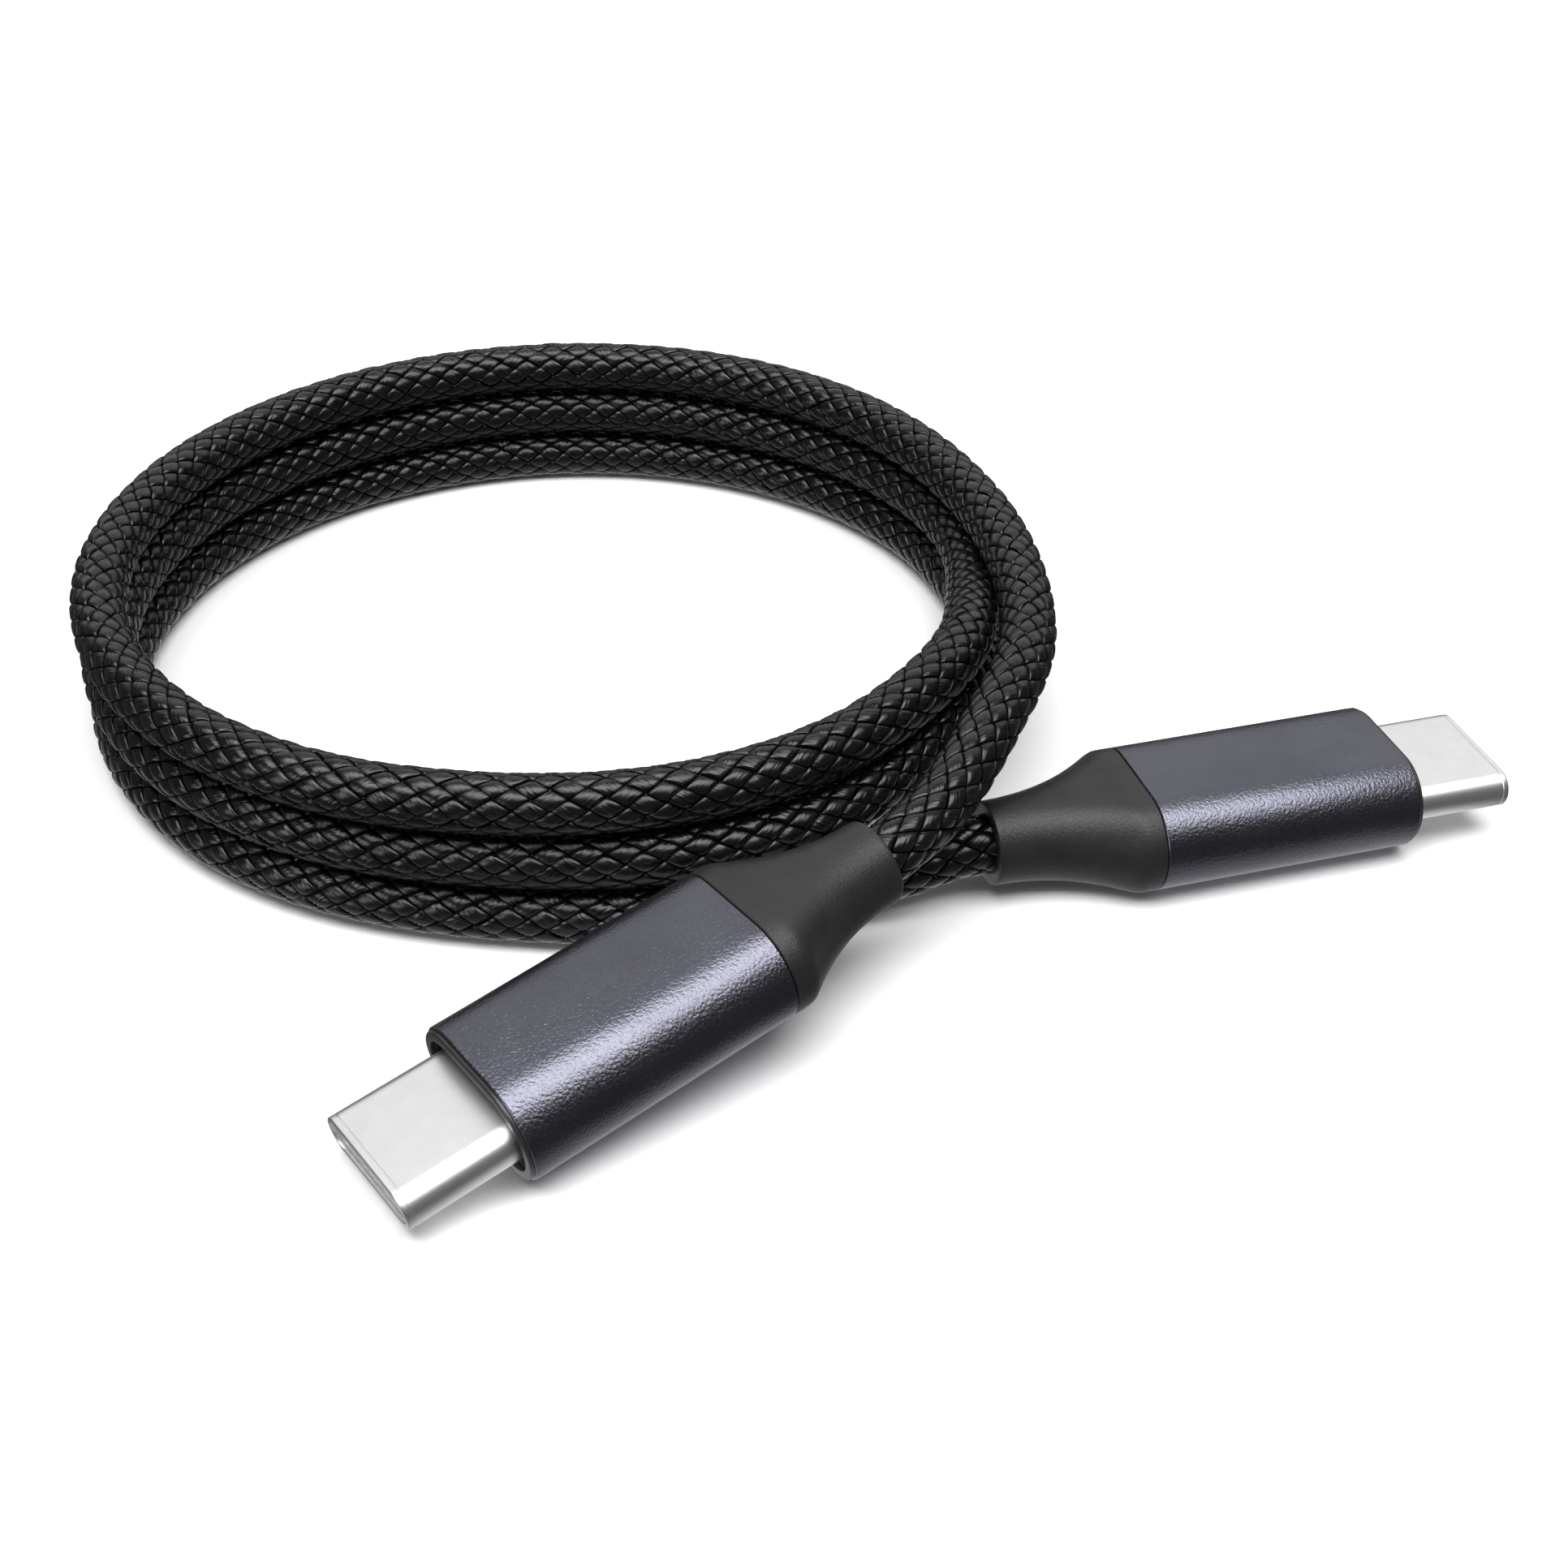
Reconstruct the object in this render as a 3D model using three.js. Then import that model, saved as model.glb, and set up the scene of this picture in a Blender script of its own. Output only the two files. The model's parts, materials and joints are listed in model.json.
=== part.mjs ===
// A charging cable with a braided cord wound into a low coil and a reversible
// rectangular plug on each end.  Millimetres, +Z up.  The cable lies on z = 0 and the
// origin is the middle of the footprint of its two plugs.

import * as THREE from 'three';

// ---- Driving dimensions ----------------------------------------------------------

const CORD_D = 3.6; // braided cord, outside
const FIT_GAP = 0.05; // clearance between pieces assembled inside a plug
const BORE_GAP = 0.1; // clearance round what passes through the boot

const COIL_CENTRE = { x: -25.76, y: 32.63 };
const COIL_R = 28.9; // centreline of the wound cord
const COIL_LEVELS = 3; // turns stacked on each other

// Each plug's own axes: +X out of the connector's mouth, Y across its width, Z across
// its thickness.  Its origin is the centre of the sleeve's front rim.
const SLEEVE = { width: 10.4, thick: 6.0, length: 16.1, wall: 0.6, chamfer: 0.15 };
const SHELL = { width: 8.25, thick: 2.4, wall: 0.2, reach: 6.5, root: -3.0, lip: 0.05 };
const BEZEL = { front: -0.1, step: -0.45, back: -2.7 };
const BOOT = { length: 9.2, flange: 1.2, endD: 5.0, spigot: 2.0, edge: 0.15 };
const HOUSING = {
  width: 7.6, thick: 1.6, front: 6.1, back: -3.0, slotW: 7.0, slotT: 1.24, edge: 0.05,
};
const CONTACT = {
  count: 12, pitch: 0.5, width: 0.24, thick: 0.13, z: 0.42, front: 5.0, back: -2.9, strip: 0.4,
};
const LATCH = { thick: 0.2, width: 0.3, y: 3.3, front: 5.0, back: -2.9, bridge: 0.5 };
const EMI = { length: 1.2, width: 5.2, thick: 0.1, x: 4.9, z: 0.89 };
const BOARD = { front: -3.2, length: 6.2, width: 7.0, thick: 0.6 };
const CHIP = { length: 2.0, width: 2.0, thick: 0.5, x: -6.2 };
const CAN = { width: 7.9, thick: 3.8, wall: 0.15, front: -3.2, length: 7.6, edge: 0.05 };
const MOULD = {
  width: 9.1, thick: 4.7, front: -3.2, length: 10.4, hollowW: 8.0, hollowT: 3.9, edge: 0.2,
};
const CRIMP = { outerR: 2.2, innerR: 1.6, front: -13.8, length: 2.2, edge: 0.1 };
const JACKET = { r: 1.5, front: -12.6 };
const WIRE = { straight: 0.6, drop: 0.8, overBoard: 1.6, sides: 6, steps: 8 };

// Where the plugs lie.  Plug A leans on its front lower edge because its cord climbs
// over the other plug's lead; plug B lies flat.
const PLUG_A = { x: -25.51, y: -13.59, yaw: 216.7, tilt: 8.6 };
const PLUG_B = { x: 25.73, y: 14.97, yaw: 15.9, tilt: 0 };

// The cord between plug A's boot and the coil's top turn, and between the coil's bottom
// turn and plug B's boot.
const LEAD_A = [
  [-5.2, 1.6, 6.8], [-3.8, 2.7, 7.2], [-1.8, 5, 7.7], [-0.3, 7.6, 8.2],
  [1, 10.3, 8.6], [2.3, 13.4, 8.9], [3.7, 17, 9], [4.6, 20.8, 9],
];
const LEAD_B = [
  [1, 7.9, 3], [-0.9, 7.4, 2.9], [-2.8, 6.8, 2.5], [-4.7, 6.3, 2.1], [-7.2, 5.6, 1.8],
];

const LOOP_STEPS = 28; // points round a stadium-shaped section
const DEG = Math.PI / 180;

// ---- Materials -------------------------------------------------------------------

const LOOKS = {
  anodised: { color: 0x55555f, roughness: 0.38, metalness: 0.85 },
  soft_moulding: { color: 0x2b2b2d, roughness: 0.75, metalness: 0 },
  black_plastic: { color: 0x151517, roughness: 0.4, metalness: 0 },
  steel: { color: 0xd2d2d2, roughness: 0.25, metalness: 1 },
  spring_steel: { color: 0xb4b4b4, roughness: 0.35, metalness: 1 },
  insulator: { color: 0xcfcfcc, roughness: 0.55, metalness: 0 },
  gold: { color: 0xd9a441, roughness: 0.3, metalness: 1 },
  laminate: { color: 0x1f5a33, roughness: 0.5, metalness: 0 },
  chip: { color: 0x18181a, roughness: 0.6, metalness: 0 },
  hot_melt: { color: 0xd8d4c4, roughness: 0.6, metalness: 0 },
  braid: { color: 0x121214, roughness: 0.5, metalness: 0 },
  jacket: { color: 0x202022, roughness: 0.6, metalness: 0 },
  red: { color: 0xb01818, roughness: 0.5, metalness: 0 },
  black: { color: 0x111111, roughness: 0.5, metalness: 0 },
  blue: { color: 0x1c3fa0, roughness: 0.5, metalness: 0 },
  green: { color: 0x1d7a34, roughness: 0.5, metalness: 0 },
  white: { color: 0xe6e6e6, roughness: 0.5, metalness: 0 },
};

function piece(name, geometry, look) {
  const mesh = new THREE.Mesh(geometry, new THREE.MeshStandardMaterial(LOOKS[look]));
  mesh.name = name;
  return mesh;
}

// ---- Geometry helpers ------------------------------------------------------------

// One loop across a plug's axis: a stadium, or a circle when both sizes are equal.
function section(x, width, thick) {
  const r = thick / 2;
  const rPoint = r / Math.cos(Math.PI / LOOP_STEPS);
  const shift = width / 2 - r;
  const loop = [];
  for (let i = 0; i < LOOP_STEPS; i += 1) {
    const a = ((i + 0.5) * 2 * Math.PI) / LOOP_STEPS;
    const side = Math.cos(a) > 0 ? shift : -shift;
    loop.push(new THREE.Vector3(x, side + rPoint * Math.cos(a), rPoint * Math.sin(a)));
  }
  return loop;
}

// A body skinned over loops that follow each other along +X.  When `ring` is true the
// last loop joins the first, which leaves a hole through the body; otherwise the first
// and last loops are capped.
function skin(loops, ring) {
  const points = [];
  const faces = [];
  const n = loops[0].length;
  for (const loop of loops) {
    points.push(...loop);
  }
  const bands = ring ? loops.length : loops.length - 1;
  for (let k = 0; k < bands; k += 1) {
    const here = k * n;
    const next = ((k + 1) % loops.length) * n;
    for (let i = 0; i < n; i += 1) {
      const j = (i + 1) % n;
      faces.push(here + i, here + j, next + j);
      faces.push(here + i, next + j, next + i);
    }
  }
  if (!ring) {
    const first = points.length;
    points.push(centreOf(loops[0]));
    points.push(centreOf(loops[loops.length - 1]));
    const lastLoop = (loops.length - 1) * n;
    for (let i = 0; i < n; i += 1) {
      const j = (i + 1) % n;
      faces.push(first, j, i);
      faces.push(first + 1, lastLoop + i, lastLoop + j);
    }
  }
  const geometry = new THREE.BufferGeometry().setFromPoints(points);
  geometry.setIndex(faces);
  return geometry;
}

function centreOf(loop) {
  const sum = new THREE.Vector3();
  for (const point of loop) {
    sum.add(point);
  }
  return sum.divideScalar(loop.length);
}

// A plain tube of stadium section from x0 to x1, with its edges broken by `chamfer`.
function stadiumTube(x0, x1, outerW, outerT, innerW, innerT, chamfer) {
  const c = chamfer;
  return skin([
    section(x0 + c, outerW, outerT),
    section(x1 - c, outerW, outerT),
    section(x1, outerW - 2 * c, outerT - 2 * c),
    section(x1, innerW, innerT),
    section(x0, innerW, innerT),
    section(x0, outerW - 2 * c, outerT - 2 * c),
  ], true);
}

function block(x0, x1, y0, y1, z0, z1) {
  const geometry = new THREE.BoxGeometry(x1 - x0, y1 - y0, z1 - z0);
  geometry.translate((x0 + x1) / 2, (y0 + y1) / 2, (z0 + z1) / 2);
  return geometry;
}

// A flat sheet outline in X and Y, `thick` deep, with its lower face at z.
function plate(outline, z, thick) {
  const shape = new THREE.Shape(outline.map(([x, y]) => new THREE.Vector2(x, y)));
  const geometry = new THREE.ExtrudeGeometry(shape, { depth: thick, bevelEnabled: false });
  geometry.translate(0, 0, z);
  return geometry;
}

// A round tube along a smooth curve through the given points.
function cordTube(points, diameter, sides, steps) {
  const curve = new THREE.CatmullRomCurve3(points, false, 'centripetal');
  const round = new THREE.Shape();
  for (let i = 0; i < sides; i += 1) {
    const a = ((i + 0.5) * 2 * Math.PI) / sides;
    const x = (diameter / 2) * Math.cos(a);
    const y = (diameter / 2) * Math.sin(a);
    if (i === 0) {
      round.moveTo(x, y);
    } else {
      round.lineTo(x, y);
    }
  }
  round.closePath();
  return new THREE.ExtrudeGeometry(round, { steps, extrudePath: curve, bevelEnabled: false });
}

// ---- The pieces of one plug ------------------------------------------------------

function sleeve() {
  const s = SLEEVE;
  const innerW = s.width - 2 * s.wall;
  const innerT = s.thick - 2 * s.wall;
  return stadiumTube(-s.length, 0, s.width, s.thick, innerW, innerT, s.chamfer);
}

// Two black steps that lead from the sleeve's rim down to the connector.
function bezel() {
  const outerW = SLEEVE.width - 2 * SLEEVE.wall - 2 * FIT_GAP;
  const outerT = SLEEVE.thick - 2 * SLEEVE.wall - 2 * FIT_GAP;
  const innerW = SHELL.width + 2 * FIT_GAP;
  const innerT = SHELL.thick + 2 * FIT_GAP;
  const stepW = (outerW + innerW) / 2;
  const stepT = (outerT + innerT) / 2;
  return skin([
    section(BEZEL.back, outerW, outerT),
    section(BEZEL.front, outerW, outerT),
    section(BEZEL.front, stepW, stepT),
    section(BEZEL.step, stepW, stepT),
    section(BEZEL.step, innerW, innerT),
    section(BEZEL.back, innerW, innerT),
  ], true);
}

function connectorShell() {
  const s = SHELL;
  const innerW = s.width - 2 * s.wall;
  const innerT = s.thick - 2 * s.wall;
  return stadiumTube(s.root, s.reach, s.width, s.thick, innerW, innerT, s.lip);
}

// A soft boot with a spigot in the sleeve, a flange flush with the sleeve and a neck
// that narrows from the plug's flat section to the round cord.
function boot() {
  const front = -SLEEVE.length - FIT_GAP;
  const back = front - BOOT.length;
  const neck = front - BOOT.flange;
  const spigotW = SLEEVE.width - 2 * SLEEVE.wall - 2 * FIT_GAP;
  const spigotT = SLEEVE.thick - 2 * SLEEVE.wall - 2 * FIT_GAP;
  const crimpBore = 2 * (CRIMP.outerR + BORE_GAP);
  const cordBore = 2 * (JACKET.r + BORE_GAP);
  const crimpEnd = CRIMP.front - CRIMP.length - BORE_GAP;
  const neckSteps = 9;
  const loops = [];
  for (let i = 0; i <= neckSteps; i += 1) {
    const t = 1 - i / neckSteps;
    const narrow = 1 - (1 - t) ** 2.2; // quickly in behind the flange, then levelling off
    const width = THREE.MathUtils.lerp(SLEEVE.width, BOOT.endD, narrow);
    const thick = THREE.MathUtils.lerp(SLEEVE.thick, BOOT.endD, narrow);
    const x = THREE.MathUtils.lerp(neck, back + BOOT.edge, t);
    loops.push(section(x, width, Math.min(thick, width)));
  }
  loops.push(section(front, SLEEVE.width, SLEEVE.thick));
  loops.push(section(front, spigotW, spigotT));
  loops.push(section(front + BOOT.spigot, spigotW, spigotT));
  loops.push(section(front + BOOT.spigot, crimpBore, crimpBore));
  loops.push(section(crimpEnd, crimpBore, crimpBore));
  loops.push(section(crimpEnd, cordBore, cordBore));
  loops.push(section(back, cordBore, cordBore));
  loops.push(section(back, BOOT.endD - 2 * BOOT.edge, BOOT.endD - 2 * BOOT.edge));
  return skin(loops, true);
}

function contactHousing() {
  const h = HOUSING;
  return stadiumTube(h.back, h.front, h.width, h.thick, h.slotW, h.slotT, h.edge);
}

// A comb: one row of spring fingers on a common strip.
function contactRow(z) {
  const c = CONTACT;
  const half = ((c.count - 1) * c.pitch) / 2;
  const stripFront = c.back + c.strip;
  const outline = [[c.back, -half - c.width / 2]];
  for (let i = 0; i < c.count; i += 1) {
    const y = -half + i * c.pitch;
    outline.push([c.front, y - c.width / 2]);
    outline.push([c.front, y + c.width / 2]);
    if (i < c.count - 1) {
      outline.push([stripFront, y + c.width / 2]);
      outline.push([stripFront, y + c.pitch - c.width / 2]);
    }
  }
  outline.push([c.back, half + c.width / 2]);
  return plate(outline, z, c.thick);
}

// A flat fork whose two arms latch into the sides of a receptacle.
function latchPlate() {
  const l = LATCH;
  const bridge = l.back + l.bridge;
  const inner = l.y - l.width / 2;
  const outer = l.y + l.width / 2;
  return plate([
    [l.back, -outer], [l.front, -outer], [l.front, -inner], [bridge, -inner],
    [bridge, inner], [l.front, inner], [l.front, outer], [l.back, outer],
  ], -l.thick / 2, l.thick);
}

function emiSpring(side) {
  const e = EMI;
  const z0 = side * e.z - e.thick / 2;
  return block(e.x - e.length / 2, e.x + e.length / 2, -e.width / 2, e.width / 2, z0, z0 + e.thick);
}

function board() {
  const b = BOARD;
  return block(b.front - b.length, b.front, -b.width / 2, b.width / 2, -b.thick / 2, b.thick / 2);
}

function markerChip() {
  const c = CHIP;
  const z0 = BOARD.thick / 2 + FIT_GAP;
  return block(c.x - c.length / 2, c.x + c.length / 2, -c.width / 2, c.width / 2, z0, z0 + c.thick);
}

function shieldCan() {
  const c = CAN;
  const innerW = c.width - 2 * c.wall;
  const innerT = c.thick - 2 * c.wall;
  return stadiumTube(c.front - c.length, c.front, c.width, c.thick, innerW, innerT, c.edge);
}

function innerMould() {
  const m = MOULD;
  return stadiumTube(m.front - m.length, m.front, m.width, m.thick, m.hollowW, m.hollowT, m.edge);
}

function crimpRing() {
  const c = CRIMP;
  const outer = 2 * c.outerR;
  const inner = 2 * c.innerR;
  return stadiumTube(c.front - c.length, c.front, outer, outer, inner, inner, c.edge);
}

// The end of the cord's inner jacket, stripped of its braid, inside the boot.
function jacketEnd() {
  const back = -SLEEVE.length - FIT_GAP - BOOT.length;
  const d = 2 * JACKET.r;
  return skin([section(back, d, d), section(JACKET.front, d, d)], false);
}

// One insulated wire from the jacket's end up onto the board.
function wire(radius, fromY, fromZ, toY, side) {
  const boardBack = BOARD.front - BOARD.length;
  const padZ = side * (BOARD.thick / 2 + radius + FIT_GAP);
  const start = JACKET.front + BORE_GAP;
  return cordTube([
    new THREE.Vector3(start, fromY, fromZ),
    new THREE.Vector3(start + WIRE.straight, fromY, fromZ),
    new THREE.Vector3(boardBack - BORE_GAP - WIRE.drop, (fromY + toY) / 2, (fromZ + padZ) / 2),
    new THREE.Vector3(boardBack - BORE_GAP, toY, padZ),
    new THREE.Vector3(boardBack + WIRE.overBoard, toY, padZ),
  ], 2 * radius, WIRE.sides, WIRE.steps);
}

const WIRES = [
  { name: 'wire_power', look: 'red', r: 0.42, y: 0.6, z: 0.6, pad: 2.6, side: 1 },
  { name: 'wire_ground', look: 'black', r: 0.42, y: -0.6, z: -0.6, pad: -2.6, side: -1 },
  { name: 'wire_sense', look: 'blue', r: 0.3, y: -0.6, z: 0.6, pad: -2.4, side: 1 },
  { name: 'wire_data_plus', look: 'green', r: 0.3, y: 0.0, z: 0.0, pad: 0.6, side: -1 },
  { name: 'wire_data_minus', look: 'white', r: 0.3, y: 0.7, z: -0.6, pad: 2.2, side: -1 },
];

function plug(prefix, place, hasMarker) {
  const group = new THREE.Group();
  const add = (name, geometry, look) => group.add(piece(`${prefix}_${name}`, geometry, look));
  add('sleeve', sleeve(), 'anodised');
  add('bezel', bezel(), 'black_plastic');
  add('boot', boot(), 'soft_moulding');
  add('connector_shell', connectorShell(), 'steel');
  add('contact_housing', contactHousing(), 'insulator');
  add('contacts_upper', contactRow(CONTACT.z), 'gold');
  add('contacts_lower', contactRow(-CONTACT.z - CONTACT.thick), 'gold');
  add('latch_plate', latchPlate(), 'spring_steel');
  add('emi_spring_upper', emiSpring(1), 'spring_steel');
  add('emi_spring_lower', emiSpring(-1), 'spring_steel');
  add('circuit_board', board(), 'laminate');
  if (hasMarker) {
    add('marker_chip', markerChip(), 'chip');
  }
  add('shield_can', shieldCan(), 'spring_steel');
  add('inner_mould', innerMould(), 'hot_melt');
  add('crimp_ring', crimpRing(), 'spring_steel');
  add('jacket_end', jacketEnd(), 'jacket');
  for (const w of WIRES) {
    add(w.name, wire(w.r, w.y, w.z, w.pad, w.side), w.look);
  }
  const tilt = place.tilt * DEG;
  const rest = (SLEEVE.thick / 2) * Math.cos(tilt);
  group.position.set(place.x, place.y, rest);
  group.rotation.set(0, tilt, place.yaw * DEG, 'ZYX');
  return group;
}

// ---- The cord --------------------------------------------------------------------

// The outer shape of the stacked turns: a ring with rounded upper and lower edges.
function coil() {
  const r = CORD_D / 2;
  const height = COIL_LEVELS * CORD_D;
  const arc = 6;
  const profile = [];
  for (let i = 0; i <= arc; i += 1) {
    const a = -Math.PI + (i * Math.PI) / arc;
    profile.push(new THREE.Vector2(COIL_R + r * Math.cos(a), r + r * Math.sin(a)));
  }
  for (let i = 0; i <= arc; i += 1) {
    const a = (i * Math.PI) / arc;
    profile.push(new THREE.Vector2(COIL_R + r * Math.cos(a), height - r + r * Math.sin(a)));
  }
  profile.push(profile[0].clone());
  const geometry = new THREE.LatheGeometry(profile, 56);
  geometry.rotateX(Math.PI / 2);
  geometry.translate(COIL_CENTRE.x, COIL_CENTRE.y, 0);
  return geometry;
}

function lead(points, steps) {
  return cordTube(points.map(([x, y, z]) => new THREE.Vector3(x, y, z)), CORD_D, 8, steps);
}

const cable = new THREE.Group();
cable.add(plug('plug_a', PLUG_A, true));
cable.add(plug('plug_b', PLUG_B, false));
cable.add(piece('cord_coil', coil(), 'braid'));
cable.add(piece('cord_lead_a', lead(LEAD_A, 8), 'braid'));
cable.add(piece('cord_lead_b', lead(LEAD_B, 4), 'braid'));

export default cable;
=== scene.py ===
"""A braided charging cable wound into a low coil, with a plug on each end.

Everything is placed in the part's own frame: the cable lies on z = 0 and the origin is in
the middle of the footprint of the two plugs. Sizes are in millimetres, and become metres
where a mesh is made. The camera and the stage are in metres."""

import json
import math

import bpy
import numpy as np
from mathutils import Matrix, Vector


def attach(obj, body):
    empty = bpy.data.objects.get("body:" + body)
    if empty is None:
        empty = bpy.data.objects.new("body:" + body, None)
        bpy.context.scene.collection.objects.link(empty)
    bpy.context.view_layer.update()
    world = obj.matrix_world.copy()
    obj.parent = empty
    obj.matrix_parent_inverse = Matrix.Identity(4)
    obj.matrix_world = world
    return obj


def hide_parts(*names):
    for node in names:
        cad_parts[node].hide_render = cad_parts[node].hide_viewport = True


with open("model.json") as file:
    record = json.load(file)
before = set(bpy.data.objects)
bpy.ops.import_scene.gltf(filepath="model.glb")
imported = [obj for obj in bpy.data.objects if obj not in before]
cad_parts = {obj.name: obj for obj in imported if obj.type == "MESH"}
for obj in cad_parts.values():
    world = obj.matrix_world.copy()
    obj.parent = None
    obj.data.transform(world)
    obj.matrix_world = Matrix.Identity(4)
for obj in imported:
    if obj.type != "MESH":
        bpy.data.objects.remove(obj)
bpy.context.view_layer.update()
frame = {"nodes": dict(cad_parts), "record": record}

MM = 0.001
PLUGS = ("plug_a", "plug_b")

# ---- Driving dimensions, in millimetres, the same as the part's ---------------------

CORD_D = 3.6
COIL_R = 28.9
COIL_CENTRE = np.array((-25.76, 32.63))
LEVEL = CORD_D  # height from one turn to the next
COIL_LEVELS = 3
TOP_LEVEL = (COIL_LEVELS - 0.5) * CORD_D

# Where things happen round the coil, in degrees from +X: the top turn is met from lead A,
# every turn steps down at the right, and the bottom turn parts into lead B.
COIL_START, COIL_STEP = -14.0, 7.5
MERGE_START, MERGE_END = -21.2, 34.0
MERGE_OUT, MERGE_POWER = 3.72, 2.3
DROP_START, DROP_SPAN = -35.0, 50.0
LEAVE_START, LEAVE_END = -125.0, -55.6
LEAVE_OUT, LEAVE_POWER = 3.9, 4
COIL_END = COIL_LEVELS * 360 - 62.0

# Where the turns aren't round: how far out or in, the middle of the place, and the degrees
# to each side of it. The middle turn's place is counted on through the turns before it.
SWELL_ALL = (0.9, -60.0, 42.0)
SWELL_MIDDLE_TURN = (0.85, 668.0, 46.0)
DRAW_IN = (1.05, -5.0, 26.0)

LEAD_A = [
    (-5.2, 1.6, 6.8), (-3.8, 2.7, 7.2), (-1.8, 5, 7.7), (-0.3, 7.6, 8.2),
    (1, 10.3, 8.6), (2.3, 13.4, 8.9), (3.7, 17, 9), (4.6, 20.8, 9),
]
LEAD_B = [
    (1, 7.9, 3), (-0.9, 7.4, 2.9), (-2.8, 6.8, 2.5), (-4.7, 6.3, 2.1), (-7.2, 5.6, 1.8),
]

SLEEVE_W, SLEEVE_T, SLEEVE_L, SLEEVE_WALL = 10.4, 6.0, 16.1, 0.6
SHELL_W, SHELL_T, SHELL_WALL = 8.25, 2.4, 0.2
SHELL_ROOT, SHELL_REACH = -3.0, 6.5
BOOT_L, BOOT_FLANGE, BOOT_END_D = 9.2, 1.2, 5.0
FIT_GAP = 0.05
BOOT_FRONT = -SLEEVE_L - FIT_GAP
BOOT_BACK = BOOT_FRONT - BOOT_L
SCOOP_POWER = 2.2  # how quickly the boot narrows behind its flange
SHOULDER_Z = 2.62  # the shoulder mount's height over the connector's axis

# The bezel's steps, from its lip to the connector: where each starts, its size there, as a
# share of the way from the connector to the sleeve's bore, its size once its edge has
# turned, then where it ends and its size there.
BEZEL_STEPS = [
    (0.22, 0.9, 0.87, -0.1, 0.85),
    (-0.1, 0.74, 0.71, -0.38, 0.69),
    (-0.4, 0.52, 0.47, -0.64, 0.45),
    (-0.66, 0.24, 0.2, -0.9, 0.18),
]
BEZEL_SOFT = 0.05

# The braid: eight flat bands of filaments each way round, one over and one under.
BANDS = 8
WEAVE_PITCH = 2.0  # along the cord, from one crossing to the next in the same row
LAY_LENGTH = BANDS * WEAVE_PITCH
BRAID_STEP = WEAVE_PITCH / 12
BAND_WAVE = 0.11  # half of the way a band moves in and out
BAND_TURN = 2.2  # how sharply it dives between the two
BAND_ROUND = 0.05  # how far its edges lie below its middle
BAND_EDGE = 0.12  # and how far its very edges turn down
BAND_COVER = 0.96  # the share of its row that a band covers
BAND_UV_HALF = 0.499  # so that its UVs stay just inside its own whole step
BAND_CLEAR = 0.02  # how far its highest place stays inside the cord's diameter
SLACK_RUN, SLACK_LIFT, SLACK_TWIST = 5.0, 0.012, 0.02
SLACK_SEED = 7
CORE_SIDES, CORE_SKIP = 20, 4  # the core takes every fourth point of the cord's line
LINE_SPANS, LINE_ROUNDS = 24, 60  # steps between two given points, and smoothing rounds
CORD_INSIDE_BOOT = 0.6

CREASE_ANGLE = math.radians(38)  # corners sharper than this are drawn as edges

CAMERA_PLACE = (-0.01038, -0.09088, 0.07689)
CAMERA_DOWN = math.radians(35.16)
CAMERA_LENS = 48.7
CAMERA_SENSOR = 36

# The stage, in metres; the shines are how bright each thing looks, with 1 as white.
STAGE_MIDDLE = (0.0, 0.01, 0.0)
PANEL_FAR = 0.5
FLOOR_HALF = 0.55
FLOOR_RIM = 0.006
# the floor's and the rim's shines are painted reflections: an emission that only glossy rays see
# on the floor, dim far off and bright within FLOOR_RIM of the objects
PAINTED_FLOOR_REFLECTION, PAINTED_RIM_REFLECTION, WORLD_SHINE = 0.1, 0.8, 0.1
RIM_FROM, RIM_TO = 0.55, 0.98  # how open the floor is where the rim ends
OVERHEAD_UP, OVERHEAD_TINT = 101.0, (0.985, 0.985, 1.0)


# ---- Materials --------------------------------------------------------------------

MIX_A, MIX_B, MIX_RESULT = 6, 7, 2  # the colour sockets of a Mix node


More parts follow.
